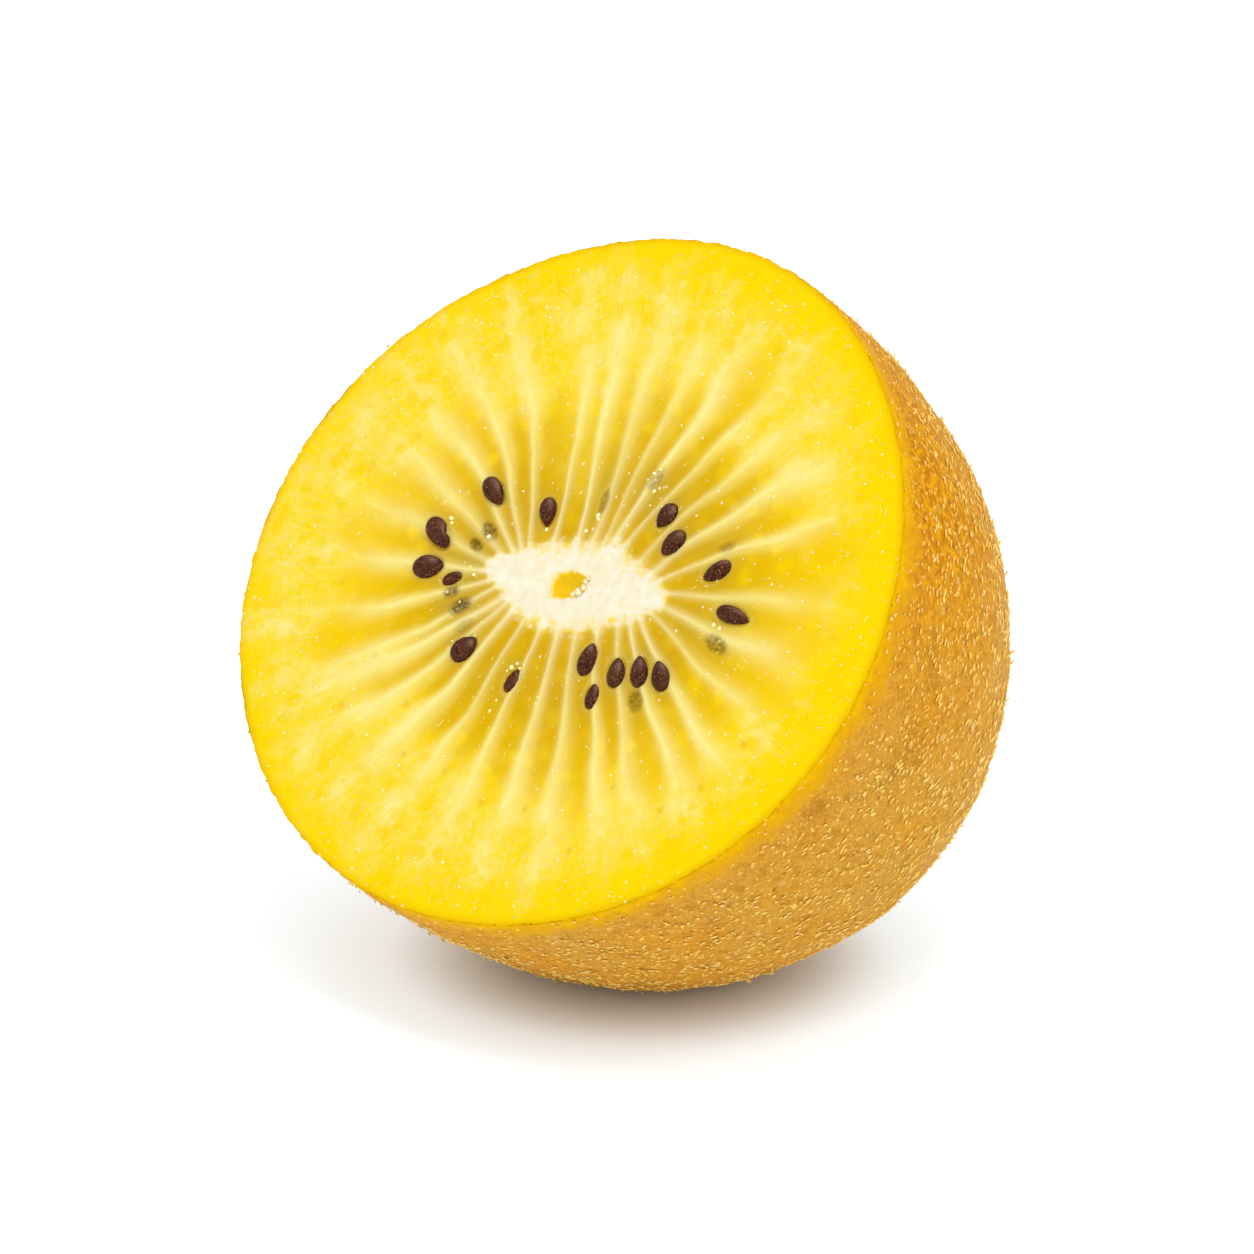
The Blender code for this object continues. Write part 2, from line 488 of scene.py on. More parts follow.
def faceFields(x, y):
    # what the cut face is like at each point, every field from 0 to 1, and its height in millimetres
    nu, reach, toArc = coreCoordinates(x, y)
    rimGap = waistRadius(np.arctan2(y, x)) - np.hypot(x, y)
    flat = np.stack([x, y], -1)
    random = np.random.default_rng(11)
    walls = sorted(cutFace["walls"])
    wall, plate, gaps, end = wallFields(walls, nu, reach, toArc, random)
    veins = veinEnds(walls, nu, reach, toArc, random)
    smudge, halo, dip, pocket = seedFields(x, y)

    # the core's edge feathers out along the walls
    coreEdge = np.full_like(x, cutFace["coreReach"])
    for further, towards, breadth in cutFace["corePoints"]:
        coreEdge += further * bell(wrapped(nu - towards), breadth)
    feather = coreEdge + 0.55 * wall + 0.15 * swell(flat, 1.1, 9) + 0.10 * swell(flat, 0.5, 10)
    core = fade(reach, feather + 1.15, feather - 0.95)

    # chambers: rounded at the core end, tapering off outwards, and paler at the top
    crown = (2 * gaps[0] / gaps.sum(0) - 1) ** 2
    start = coreEdge + 0.10 + 0.6 * crown ** 2
    chamber = fade(reach, start, start + 0.8)
    chamber *= fade(reach, end + 3.4 - 2.0 * crown, end - 0.4 - 1.5 * crown)
    chamber *= np.clip(0.99 + 0.08 * swell(flat, 2.6, 21), 0, 1)
    chamber *= 1 - 0.50 * bell(nu - 1.88, 0.24) * fade(reach, 6.0, 9.0)

    patches = 0.18 + sum(amount * bell(nu - towards, breadth) for amount, towards, breadth in cutFace["veilPatches"])
    veil = bell(reach - cutFace["veilReach"] - 0.5 * ripple(nu, (2, 5, 8), 13), 2.0) * patches
    veil *= 1 + 0.3 * ripple(nu, (6, 10, 17), 17)
    veil = np.clip(veil + 0.45 * halo, 0, 1) * (1 - core)

    # milky flesh beyond the chambers, clear yellow in a band along the rim that is wider on the right
    band = 2.3 + 1.5 * np.cos(nu) + 0.35 * ripple(nu, (3, 5, 8, 13), 25)
    milky = 0.08 + 0.07 * swell(flat, 4.5, 27) + 0.30 * bell(gaps.min(0), 1.15) * fade(reach, 12, 16)

    height = cutFace["wallHeight"] * (0.7 * wall + 0.4 * plate) * (1 - core)
    height -= cutFace["chamberDepth"] * chamber * (1 - wall) * (1 - 0.7 * plate)
    height += 0.03 * core - 0.14 * dip
    height += 0.04 * swell(flat, 9.0, 41) + 0.010 * swell(flat, 1.3, 43) + 0.006 * swell(flat, 0.6, 47)
    height -= 0.03 * bell(np.maximum(rimGap, 0), 0.20) + 0.03 * bell(np.maximum(rimGap, 0), 1.0)
    fields = {"wall": wall, "plate": plate, "chamber": chamber, "core": core, "veil": veil, "vein": veins,
              "smudge": smudge, "milky": milky, "pocket": pocket}
    fields = {name: np.clip(values, 0, 1) for name, values in fields.items()}
    fields.update(height=height, reach=reach, rimGap=rimGap, inBand=rimGap - band)
    fields.update(rayX=np.cos(nu), rayY=np.sin(nu), rayZ=reach / 25)
    return fields


fleshLook = {
    # noises in the flesh: size in millimetres, detail, roughness
    "grains": {"mottle": (1.5, 3.0, 0.6), "fine": (0.42, 2.0, 0.6), "murk": (0.28, 2.0, 0.5), "bend": (1.6, 2.0, 0.5),
               "cream": (0.8, 4.0, 0.6), "wool": (0.45, 3.0, 0.6), "patch": (3.5, 2.0, 0.5), "wet": (0.35, 3.0, 0.6)},
    # threads running out from the core: how fine across and along; fibres are about 0.4 mm across half way out
    "threads": {"fibres": (34.0, 8.0), "fingers": (15.0, 5.0), "strands": (95.0, 7.0)},
    "cellSize": 1.7,  # millimetres
    "cellBend": 0.0012,  # metres
    "dots": {"crumbs": (0.75, 1.0)},  # pale specks painted as glints of light on the wet cells: how far apart in millimetres, and how unevenly; drawn about 0.15 mm wide
    "fields": ("inBand", "milky", "reach", "chamber", "vein", "veil", "plate", "wall", "pocket", "smudge", "core",
               "hollow", "rim"),
}


def fleshMaterial():
    # Golden kiwi flesh, cut with a knife: wet and translucent, so light spreads in it and small glints sit on it
    look = fleshLook
    material, tree, place, field, grain = newMaterial("cutKiwiFlesh", look["fields"], look["grains"], look["dots"])
    ray = (addNode(tree, "Attribute", attribute_name="ray"), "Vector")
    threads = {}
    for name, (across, along) in look["threads"].items():
        stretched = addNode(tree, "VectorMath", {0: ray, 1: (across, across, along)}, operation="MULTIPLY")
        threads[name] = addNode(tree, "TexNoise", {"Vector": stretched, "Scale": 1.0, "Detail": 2.0})
    fibres, far, mottle = threads["fibres"], field["reach"], grain["mottle"]

    # milky outer flesh runs out in ragged fingers towards the rim
    ragged = addNode(tree, "Math", {0: threads["fingers"], 1: 4.5, 2: field["inBand"]}, operation="MULTIPLY_ADD")
    ragged = addNode(tree, "Math", {0: mottle, 1: 3.0, 2: ragged}, operation="MULTIPLY_ADD")
    reached = agreed(tree, [ragged, 2.0, 6.5])
    cloudy = agreed(tree, [fibres, 0.30, 0.70, 0.70, 1.30], field["milky"], [mottle, 0.36, 0.64, 0.36, 1.56])
    for masks in (([threads["strands"], 0.54, 0.68], [far, 9, 14], 0.16), ([grain["fine"], 0.44, 0.64], 0.17)):
        cloudy = addNode(tree, "Math", {0: cloudy, 1: agreed(tree, *masks)}, operation="ADD", use_clamp=True)

    # soft-edged cells, and colours that change on the way out
    bent = addNode(tree, "VectorMath", {0: (grain["bend"], "Color"), 1: (look["cellBend"],) * 3, 2: place},
                   operation="MULTIPLY_ADD")
    cells = addNode(tree, "TexVoronoi", {"Vector": bent, "Scale": perMillimetre(look["cellSize"]), "Smoothness": 0.4},
                    feature="SMOOTH_F1")
    deep = layers(tree, "#D4A600", ("#F0C600", [far, 9, 20]))
    slopes = layers(tree, "#D2B348", ("#F3D650", [far, 7, 15]))
    edges = layers(tree, "#F0DC9C", ("#F5E692", [far, 6, 11]))
    ending = addNode(tree, "Math", {0: reached, 1: agreed(tree, [far, 19, 15])}, operation="MAXIMUM")
    cream = layers(tree, "#F0E3BE", ("#F5EDD6", [grain["cream"], 0.35, 0.7]))
    woolly = addNode(tree, "Math", {0: grain["wool"], 1: 0.20, 2: field["core"]}, operation="MULTIPLY_ADD")

    base = layers(
        tree, "#F4D200",
        ("#F5E690", cloudy, reached),
        (deep, field["chamber"], [fibres, 0.2, 0.5, 0.96, 1.0]),  # chambers, darker towards the core
        ("#EDC400", [mottle, 0.50, 0.72, 0.0, 0.30]),
        # clear cells between the milky ones
        ("#F3CE00", [(cells, "Distance"), 0.50, 0.16], [(cells, "Color"), 0.25, 0.50], [far, 11, 14], 0.85),
        ("#E2AE00", field["vein"], 0.85),
        ("#C2A033", field["veil"], [fibres, 0.3, 0.7, 0.60, 1.0]),  # grey-green round the seeds
        # buried slopes of the walls, and their bright cut edges, both laid paler on the side towards +x as painted
        # light
        (slopes, field["plate"], [far, 18, 11, 0.45, 1.0], [fibres, 0.3, 0.7, 0.40, 0.75]),
        (edges, field["wall"], [fibres, 0.25, 0.6, 0.85, 1.05], ending),
        ("#F0D880", field["pocket"], 0.22),  # edges of the seeds' pockets
        ("#4E2C06", field["smudge"], [grain["murk"], 0.36, 0.62, 0.55, 1.0], 0.95),
        # the core, yellower round its hollow; the hollow's lining is also painted brighter, as light against the
        # shade inside it
        ("#F2DC84", [field["core"], 0.0, 0.7, 0.0, 0.6]),
        (cream, [woolly, 0.15, 1.05]),
        # painted light: the hollow's yellow is brighter than the flesh, to lift the shade inside it
        ("#F8D624", field["hollow"]),
        ("#E69400", field["rim"]),
        # painted glints: pale specks that stand in for light caught by the wet cells
        ("#FCF4D0", [(grain["crumbs"], "Distance"), 0.17, 0.10], [(grain["crumbs"], "Color"), 0.60, 0.62],
         [grain["patch"], 0.44, 0.56], 0.6))
    bumps = addNode(tree, "Bump", {"Strength": 0.35, "Distance": 0.00012, "Height": grain["wet"]})
    setSurface(tree, {"Base Color": base, "Roughness": 0.40, "IOR": 1.36, "Specular IOR Level": 0.03,
                      "Subsurface Weight": 0.35, "Subsurface Radius": (1.0, 0.7, 0.15), "Subsurface Scale": 0.0004,
                      "Coat Weight": 0.05, "Coat Roughness": 0.10, "Coat IOR": 1.33, "Normal": bumps})
    return material


def buildFlesh():
    # A polar grid round the hollow: floor, walls and mouth of the hollow, then the face out to the rim, then down
    # the inside of the skin to the far end, so the flesh is one closed body
    face = cutFace
    columns = face["columns"]
    theta = turns(columns)
    ray = np.stack([np.cos(theta), np.sin(theta)], -1)
    centre = np.array(face["hollowCentre"])
    turned = theta - math.radians(face["hollowTurn"])
    oval = 1 / np.hypot(np.cos(turned) / face["hollowHalfWidth"], np.sin(turned) / face["hollowHalfHeight"])
    lumps, notches = 0.055 * ripple(theta, (3, 4, 6, 9), 51), 0.03 * ripple(theta, (14, 19, 25), 53)
    mouth = oval * (1 + lumps + notches)
    reach = np.full(columns, fruitShape["waistRadius"])
    for _ in range(30):  # how far the rim is along each ray
        at = centre + ray * reach[:, None]
        around = np.arctan2(at[:, 1], at[:, 0])
        reach += waistRadius(around) + rimWave(around) - 0.05 - np.hypot(at[:, 0], at[:, 1])

    step = np.linspace(0, 1, face["rows"])
    step = np.concatenate([(0.72 * step + 0.28 * step ** 3)[:-1], [0.994, 0.998, 1.0]])  # finer towards the core
    far = mouth + (reach - mouth) * step[:, None]
    x, y = centre[0] + ray[:, 0] * far, centre[1] + ray[:, 1] * far
    fields = faceFields(x, y)
    lip = 0.10 * bell(far - mouth, 0.16)
    top = np.stack([x, y, fields["height"] - lip], -1)
    lipHeight = top[0, :, 2]
    inner = []
    for share, drop in face["hollowRings"]:
        narrow = oval * share * (1 + lumps * share ** 2 + notches * share ** 8)  # smoother further down
        level = share * lipHeight + (1 - share) * lipHeight.mean() + face["hollowDepth"] * drop
        level = level + 0.04 * share * ripple(theta, (2, 3, 5), 55)
        inner.append(np.stack([centre[0] + ray[:, 0] * narrow, centre[1] + ray[:, 1] * narrow, level], -1))
    angle = np.arctan2(top[-1, :, 1], top[-1, :, 0])
    down = np.array([0.012, 0.04, 0.10, 0.18, 0.28, 0.40, 0.52, 0.64, 0.76, 0.86, 0.94, 0.985])[:, None]
    side = skinPoint(angle + 0 * down, down, 0.07 + 0.35 * fade(down, 0.0, 0.06))
    grid = np.concatenate([np.stack(inner), top, side])
    start = np.array([[*centre, grid[0, :, 2].mean()]])
    end = skinPoint(np.zeros(1), np.ones(1), 0.44)
    mesh, _ = closedMesh("flesh", start, grid, end, turned=True)

    before, after = len(inner) * columns + 1, len(side) * columns + 1

    def whole(values, atStart, atEnd):
        return np.concatenate([np.full(before, atStart), values.ravel(), np.full(after, atEnd)])

    # each field on the face, and its value in the hollow and on the sides
    fields["rim"] = 0.45 * bell(fields["rimGap"], 0.35)
    fields["hollow"] = 0.7 * bell(far - mouth, 0.10 + 0.10 * fade(np.cos(theta), 0.3, -1.0))
    elsewhere = {"core": (1.0, 0.0), "milky": (0.3, 0.0), "inBand": (5.0, -5.0), "rim": (0.0, 1.0),
                 "reach": (3.0, 25.0), "hollow": (1.0, 0.0)}
    for name in fleshLook["fields"]:
        addAttribute(mesh, name, whole(fields[name], *elsewhere.get(name, (0.0, 0.0))))
    fibreRay = np.stack([whole(fields[name], 0.5, 0.5) for name in ("rayX", "rayY", "rayZ")], -1)
    made = mesh.attributes.new("ray", "FLOAT_VECTOR", "POINT")
    made.data.foreach_set("vector", fibreRay.astype(np.float32).ravel())
    return newPiece("flesh", mesh, fleshMaterial())


flesh = buildFlesh()
print("flesh done:", len(flesh.data.polygons), "faces")


# Seeds

seedLook = {
    "rings": 30,
    "sides": 24,
    "thickness": 0.62,
    "pitDepth": 0.018,
    "bluntEnd": 0.50,
    "pointedEnd": (0.66, 0.82),
    "bitten": 2,  # this one has a bite out of its side
    "grains": {"tone": (0.45, 4.0, 0.65), "paintedSparkles": (0.16, 2.0, 0.5)},
    "dots": {"pits": (0.17, 0.8)},
}


def seedMaterial():
    # Kiwi seed coat: hard, dark red-brown and finely netted with pits, moist from the juice
    look = seedLook
    material, tree, _, field, grain = newMaterial("pittedSeedCoat", ("paintedHighlight",), look["grains"], look["dots"])
    pits = (grain["pits"], "Distance")
    base = layers(
        tree, "#200B05",
        ("#582A18", [grain["tone"], 0.35, 0.68]),
        ("#6B4030", [pits, 0.30, 0.70, 0.0, 0.55]),
        ("#A07A50", [grain["paintedSparkles"], 0.62, 0.70, 0.0, 0.8]),  # small pale specks in a few pits: painted sparkle of light on the wet coat
        # painted highlight: a paler patch on one shoulder of each seed
        ("#9A7A68", field["paintedHighlight"]), steps="LINEAR")
    bumps = addNode(tree, "Bump", {"Strength": 0.8, "Distance": 0.00006, "Height": pits})
    setSurface(tree, {"Base Color": base, "Roughness": 0.36, "IOR": 1.5, "Specular IOR Level": 0.02, "Normal": bumps,
                      "Coat Weight": 0.05, "Coat Roughness": 0.10, "Coat IOR": 1.33})
    return material


def buildSeeds():
    # Each seed is a teardrop: rings along its length from the blunt end, radius u^blunt (1 - u)^pointed
    look = seedLook
    rings, sides = look["rings"], look["sides"]
    u = np.linspace(0, 1, rings + 2)[1:-1][:, None]
    v = turns(sides)[None, :]
    random = np.random.default_rng(61)
    bodies, paintedHighlight = [], []
    for number, (cx, cy, lean, length, width, sink) in enumerate(seedLayout):
        profile = u ** look["bluntEnd"] * (1 - u) ** random.uniform(*look["pointedEnd"])
        profile = profile / profile.max()
        along = (u - 0.5) * length + 0 * v
        bumpy = 1 + look["pitDepth"] * np.cos(9 * np.pi * u + 0.6) * np.cos(5 * v + random.uniform(0, 6))
        bumpy = bumpy + 0.03 * np.cos(2 * v + random.uniform(0, 6)) * np.sin(np.pi * u)
        if number == look["bitten"]:
            bumpy = bumpy - 0.42 * bell(u - 0.62, 0.12) * bell(wrapped(v - 0.2), 0.75)
        across = 0.44 * width * profile * bumpy * np.cos(v)
        up = 0.5 * width * look["thickness"] * profile * bumpy * np.sin(v)
        points = np.stack([along, across, up], -1).reshape(-1, 3)
        ends = np.array([[-0.5 * length, 0, 0], [0.5 * length, 0, 0]])
        points = np.concatenate([ends[:1], points, ends[1:]])
        # a painted highlight: the coat is paler on one shoulder, where a lamp's reflection would sit
        facing = unit(points / np.array([0.5 * length, 0.5 * width, 0.5 * width * look["thickness"]]) ** 2)
        shoulder = math.radians(50 + random.uniform(-25, 25) - lean)
        shoulder = np.array([0.52 * math.cos(shoulder), 0.52 * math.sin(shoulder), 0.85])
        paintedHighlight.append(0.65 * bell(np.arccos(np.clip(facing @ shoulder, -1, 1)), 0.26))
        # rolled and pitched a little, turned to its lean and sunk into the face
        roll, pitch = random.uniform(-0.20, 0.20), random.uniform(-0.10, 0.10)
        across, up = rotated(points[:, 1], points[:, 2], roll)
        up = up + pitch * points[:, 0] - sink
        x, y = rotated(points[:, 0], across, math.radians(lean))
        bodies.append(np.stack([*fromHollow(x + cx, y + cy), up], -1))
    mesh = joinedMesh("seeds", bodies, rings, sides)
    addAttribute(mesh, "paintedHighlight", np.concatenate(paintedHighlight))
    return newPiece("seeds", mesh, seedMaterial())


seeds = buildSeeds()
print("seeds done:", len(seeds.data.polygons), "faces")


# Fibres, juice and crumbs on the cut

fibreLook = {
    "count": 1250,
    "thickness": 0.048,
    "length": (0.14, 0.34),
    "longOnes": (0.08, 2.2),  # share of the fibres, times the length
    "nearRim": 0.35,  # share of the fibres
    "bend": 0.4,
    "stages": 4,
}
beadLook = {"count": 150, "radius": (0.05, 0.11), "flatness": 0.75, "rings": 6, "sides": 10}

# drops and crumbs that stand out: x, y from the hollow, radius in millimetres
wetSpots = (
    (-1.50, -6.75, 0.17), (-1.22, -6.35, 0.15), (-0.88, -6.62, 0.13), (-1.75, -7.05, 0.11), (-0.60, -6.30, 0.10),
    (2.75, 9.30, 0.15), (3.15, 9.70, 0.12), (3.40, 8.10, 0.14), (3.70, 8.40, 0.10), (2.45, 8.75, 0.09),
    (-12.1, 2.05, 0.22), (-11.9, 1.75, 0.14), (-0.20, 5.30, 0.20), (-0.05, 5.05, 0.15), (-0.55, 4.00, 0.16),
    (-0.85, 3.25, 0.15), (13.2, 1.55, 0.20), (13.0, 0.35, 0.17), (13.6, 0.25, 0.15), (-3.9, 3.3, 0.14),
    (-8.3, 1.6, 0.15), (-8.1, -1.3, 0.14),
)
crumbSpots = (
    (1.35, 0.55, 0.17), (1.38, 0.10, 0.20), (1.12, -0.28, 0.22), (0.80, -0.52, 0.17), (1.45, 0.85, 0.13),
    (-1.30, -0.85, 0.12), (-0.90, -1.15, 0.11), (3.05, 3.85, 0.10), (2.45, 4.10, 0.09),
)

# Small things of one even finish: a cut fibre is dull and pale yellow, a juice bead glossy and coloured an opaque
# pale cream, which paints in the glint of a clear drop, and a crumb of the woolly core matt cream
smallFinishes = {
    "cutFibre": {"Base Color": "#FFEF8E", "Roughness": 0.4, "IOR": 1.36, "Specular IOR Level": 0.08},
    "juiceBeadPaintedGlint": {"Base Color": "#FFF3B4", "Roughness": 0.12, "IOR": 1.34, "Specular IOR Level": 0.3},
    "coreCrumb": {"Base Color": "#F0E4C0", "Roughness": 0.6, "Specular IOR Level": 0.1,
                  "Subsurface Weight": 0.4, "Subsurface Radius": (1.0, 0.7, 0.3), "Subsurface Scale": 0.0004},
}


def smallMaterial(name):
    material, tree, *_ = newMaterial(name)
    setSurface(tree, smallFinishes[name])
    return material


def onFace(x, y):
    # height of the cut face, in millimetres
    return faceFields(np.asarray(x, float), np.asarray(y, float))["height"]


def buildFibres():
    # Thin cut fibres lying on the flesh: three-sided threads along an arc, out from the core or astray
    look = fibreLook
    random = np.random.default_rng(101)
    count, stages = look["count"], look["stages"]
    angle = random.uniform(0, 2 * np.pi, count)
    share = np.sqrt(random.uniform(0.05, 0.975, count))
    share = np.where(random.uniform(0, 1, count) < look["nearRim"], random.uniform(0.80, 0.985, count), share)
    x = waistRadius(angle) * share * np.cos(angle)
    y = waistRadius(angle) * share * np.sin(angle)
    aim = np.arctan2(y, x) + random.normal(0, 1, count) * (0.35 + 1.1 * share ** 3)
    each = (count, 1)
    longShare, longTimes = look["longOnes"]
    length = random.uniform(*look["length"], each)
    length = length * np.where(random.uniform(0, 1, each) < longShare, longTimes, 1.0)
    steps = np.linspace(-0.5, 0.5, stages)
    path = aim[:, None] + random.normal(0, look["bend"], each) * steps
    thick = look["thickness"] * random.uniform(0.6, 1.25, each)
    px = x[:, None] + length * steps * np.cos(path)
    py = y[:, None] + length * steps * np.sin(path)
    pz = onFace(px, py) + 0.012
    width = thick * np.sqrt(np.maximum(1 - (1.7 * steps) ** 2, 0.05))
    points = []
    for corner in (90, 210, 330):
        side, lift = math.cos(math.radians(corner)), math.sin(math.radians(corner))
        points.append(np.stack([px - np.sin(path) * side * width, py + np.cos(path) * side * width,
                                pz + 0.4 * lift * width], -1))
    points = np.stack(points, 2).reshape(count, -1, 3)  # thread, stage and corner, 3
    base = points.shape[1] * np.arange(count)[:, None, None]
    quads = []
    for stage in range(stages - 1):
        for corner in range(3):
            a, b = 3 * stage + corner, 3 * stage + (corner + 1) % 3
            quads.append([a, b, b + 3, a + 3])
    last = 3 * (stages - 1)
    quads = (np.array(quads)[None] + base).reshape(-1, 4)
    triangles = (np.array([[0, 2, 1], [last, last + 1, last + 2]])[None] + base).reshape(-1, 3)
    mesh = makeMesh("fleshFibres", settled(points.reshape(-1, 3)), quads, triangles)
    return newPiece("fleshFibres", mesh, smallMaterial("cutFibre"))


def buildBeads(name, spots, sprinkled, lumpy, finish):
    # flattened balls sitting in the surface; radius varied by cosines when lumpy
    look = beadLook
    random = np.random.default_rng(len(spots))
    spots = [(*fromHollow(x, y), radius) for x, y, radius in spots]
    for _ in range(sprinkled):
        angle, share = random.uniform(0, 2 * np.pi), math.sqrt(random.uniform(0.06, 0.97))
        around = float(waistRadius(np.array(angle))) * share
        spots.append((around * math.cos(angle), around * math.sin(angle), random.uniform(*look["radius"])))
    rings, sides = look["rings"], look["sides"]
    polar = np.pi * np.arange(1, rings + 1)[:, None] / (rings + 1)
    turn = turns(sides)[None, :]
    ball = np.stack([np.sin(polar) * np.cos(turn), np.sin(polar) * np.sin(turn), np.cos(polar) + 0 * turn], -1)
    ball = np.concatenate([[[0, 0, 1.0]], ball.reshape(-1, 3), [[0, 0, -1.0]]])
    heights = onFace([spot[0] for spot in spots], [spot[1] for spot in spots])
    bodies = []
    for number, (x, y, radius) in enumerate(spots):
        shape = ball * (1 + lumpy * swell(ball, 1.7, 200 + number, 8)[:, None])
        sizes = np.array([random.uniform(0.8, 1.2), random.uniform(0.8, 1.2), look["flatness"]])
        bodies.append(shape * sizes * radius + np.array([x, y, heights[number] + 0.25 * radius]))
    mesh = joinedMesh(name, bodies, rings, sides, turned=True)
    return newPiece(name, mesh, smallMaterial(finish))


fibres = buildFibres()
beads = buildBeads("juiceBeads", wetSpots, beadLook["count"], 0.06, "juiceBeadPaintedGlint")
crumbs = buildBeads("coreCrumbs", crumbSpots, 0, 0.22, "coreCrumb")
print("fibres, beads and crumbs done:", len(fibres.data.polygons), len(beads.data.polygons), "faces")


# Skin

skinLook = {
    "columns": 400,
    "rows": 170,
    "puckers": 0.05,
    "edgeDepth": 0.09,  # how far below the cut face the skin's own edge lies
    "insideDepth": 0.24,
    "sunnySide": (0.62, 0.48),  # direction in radians, breadth
    # rubbed marks: direction in radians, height from the cut in millimetres (less than 0 is below it), breadth
    "scars": ((-0.16, -7.4, 1.1), (-0.10, -8.9, 0.7), (1.9, -12.0, 1.3), (3.9, -18.0, 1.0), (4.9, -24.0, 1.5)),
    # noises in the skin: size in millimetres, detail, roughness
    "grains": {"broad": (9.0, 3.0, 0.5), "stains": (5.0, 3.0, 0.6), "dull": (4.0, 3.0, 0.6), "pale": (0.24, 2.0, 0.6),
               "brown": (0.27, 2.0, 0.6), "clear": (0.5, 3.0, 0.6), "patches": (0.9, 3.0, 0.6),
               "ragged": (1.5, 3.0, 0.6), "rind": (0.7, 3.0, 0.6), "nicks": (0.5, 2.0, 0.6),
               "rubbed": (1.1, 4.0, 0.65), "relief": (0.24, 3.0, 0.6)},
    "fields": ("sunny", "belowCut", "scar"),
    "dots": {"specks": (0.62, 1.0), "pores": (2.3, 1.0), "dark": (1.5, 1.0)},
}


def skinMaterial():
    # Golden kiwi skin: thin, dry and satiny, golden brown with a fine pale stipple where hairs stand, and
    # see-through enough beside the cut for the yellow flesh to glow through
    look = skinLook
    material, tree, _, field, grain = newMaterial("goldenKiwiSkin", look["fields"], look["grains"], look["dots"])
    below, specks, pores, dark = field["belowCut"], grain["specks"], grain["pores"], grain["dark"]

    # broad patches of clearer orange, and a glow beside the cut with a ragged edge
    warm = addNode(tree, "Math", {0: agreed(tree, [grain["broad"], 0.36, 0.66]), 1: field["sunny"]},
                   operation="ADD", use_clamp=True)
    clearer = layers(tree, "#BC7600", ("#E89E00", [grain["clear"], 0.40, 0.60]))
    band = addNode(tree, "Math", {0: grain["ragged"], 1: 3.4}, operation="MULTIPLY")
    band = addNode(tree, "Math", {0: band, 1: below}, operation="SUBTRACT")
    rind = addNode(tree, "Math", {0: grain["rind"], 1: 0.9, 2: band}, operation="MULTIPLY_ADD")
    base = layers(
        tree, "#C68C34",
        ("#CE881C", warm),
        ("#A96A1E", [grain["stains"], 0.56, 0.74, 0.0, 0.55]),  # brown bruise-like stains
        ("#AA7626", [below, 20, 42], [grain["dull"], 0.2, 0.8, 0.2, 0.8]),
        # fine stipple, clearer on the sunny side
        ("#E6AC40", [grain["pale"], 0.40, 0.66, 0.0, 0.60]),
        ("#B87E26", [grain["brown"], 0.48, 0.34, 0.0, 0.40]),
        (clearer, field["sunny"]),
        ("#A86C14", [grain["patches"], 0.48, 0.70, 0.0, 0.52]),
        # pale specks, corky pores and dark dots
        ("#FCD070", [(specks, "Distance"), 0.26, 0.12], [(specks, "Color"), 0.40, 0.44], 0.7),
        ("#EFC987", [(pores, "Distance"), 0.17, 0.09], [below, 4, 16, 0.15, 0.75]),
        ("#7C480E", [(dark, "Distance"), 0.15, 0.06], [(dark, "Color"), 0.70, 0.72], 0.6),
        # the glow beside the cut, with dark nicks in the edge
        ("#E0A000", [band, -1.2, 1.4]),
        ("#EDB400", [rind, 1.3, 2.5]),
        ("#7C480E", [below, 0.9, 0.2], [grain["nicks"], 0.66, 0.74], 0.7),
        ("#7B4B1C", field["scar"], [grain["rubbed"], 0.42, 0.62, 0.0, 0.75]))
    bumps = addNode(tree, "Bump", {"Strength": 0.5, "Distance": 0.0001, "Height": grain["relief"]})
    bumps = addNode(tree, "Bump", {"Strength": 0.5, "Distance": 0.0001, "Height": (specks, "Distance"),
                                   "Normal": bumps}, invert=True)
    setSurface(tree, {"Base Color": base, "Roughness": 0.55, "IOR": 1.45, "Specular IOR Level": 0.02,
                      "Subsurface Weight": 0.10, "Subsurface Radius": (1.0, 0.55, 0.12), "Subsurface Scale": 0.0003,
                      "Normal": bumps})
    return material


def skinBumps(points):
    # small puckers and broad unevenness, in millimetres outwards
    uneven = 0.4 * swell(points, 1.7, 71) + 0.9 * swell(points, 6.0, 73) + swell(points, 14.0, 79)
    return skinLook["puckers"] * (uneven + 1)


